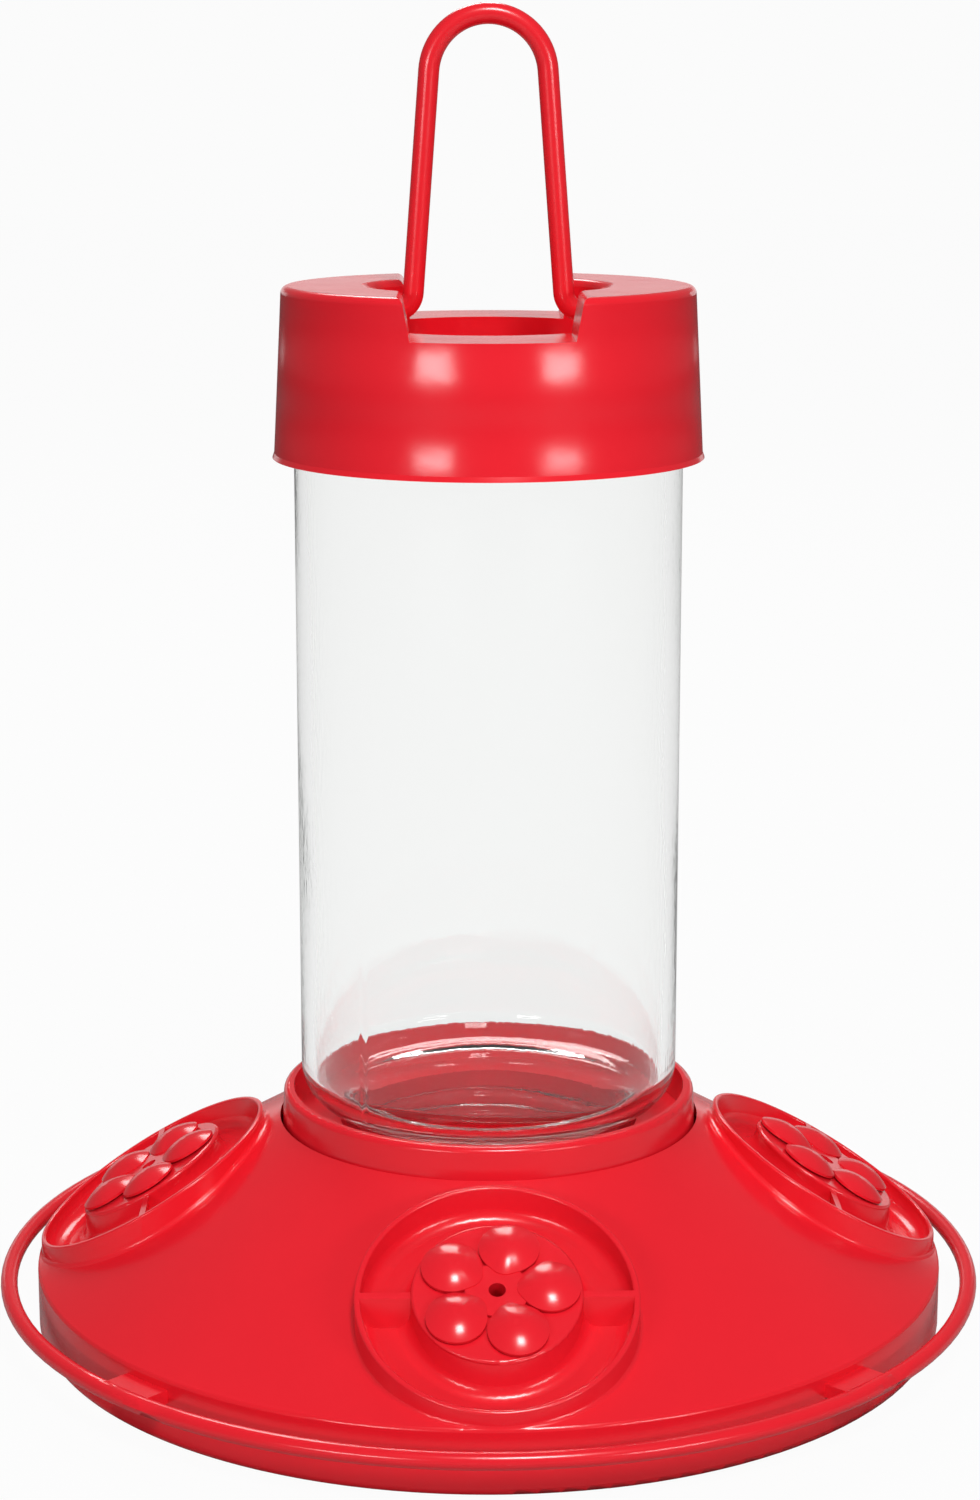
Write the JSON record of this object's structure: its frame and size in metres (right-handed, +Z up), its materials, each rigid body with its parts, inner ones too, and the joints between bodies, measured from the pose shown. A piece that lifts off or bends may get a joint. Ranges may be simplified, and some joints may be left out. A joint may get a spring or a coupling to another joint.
{
  "type": "hummingbird feeder",
  "caption": "Hanging nectar feeder: glass bottle mouth down in a round red dish with flower ports, a perch ring, and a cap with a swinging wire bail.",
  "frame": {"origin": "middle of the dish's flat underside", "axes": "+Z up along the bottle, -Y towards the front feeding port, X along the bail's pivot"},
  "size_m": [0.2, 0.2, 0.2629],
  "materials": {
    "red_plastic": "semi-gloss moulded plastic",
    "coated_wire": "smooth red coating over steel wire",
    "glass": "clear moulded glass",
    "gasket": "matt red silicone rubber"
  },
  "bodies": {
    "dish": {"nectar_dish": "red_plastic"},
    "cover": {"flower_cover": "red_plastic", "flower_insert_1": "red_plastic", "flower_insert_2": "red_plastic", "flower_insert_3": "red_plastic", "flower_insert_4": "red_plastic"},
    "washer": {"bottle_gasket": "gasket"},
    "bottle": {"glass_bottle": "glass", "hanger_cap": "red_plastic"},
    "bail": {"hanger_bail": "coated_wire"}
  },
  "joints": [
    {"name": "cover_lift", "type": "slide", "parent": "dish", "child": "cover", "axis": [0, 0, 1], "range_m": [0, 0.06]},
    {"name": "bottle_rise", "type": "slide", "parent": "dish", "child": "washer", "axis": [0, 0, 1], "range_m": [0, 0.0075]},
    {"name": "bottle_turn", "type": "hinge", "parent": "washer", "child": "bottle", "pos_m": [0, 0, 0.1], "axis": [0, 0, 1], "range_deg": [0, 540]},
    {"name": "bail_swing", "type": "hinge", "parent": "bottle", "child": "bail", "pos_m": [0, 0, 0.2045], "axis": [1, 0, 0], "range_deg": [-90, 90]}
  ],
  "couplings": [
    {"joint": "bottle_rise", "follows": "bottle_turn", "m_per_rad": 0.000795}
  ]
}
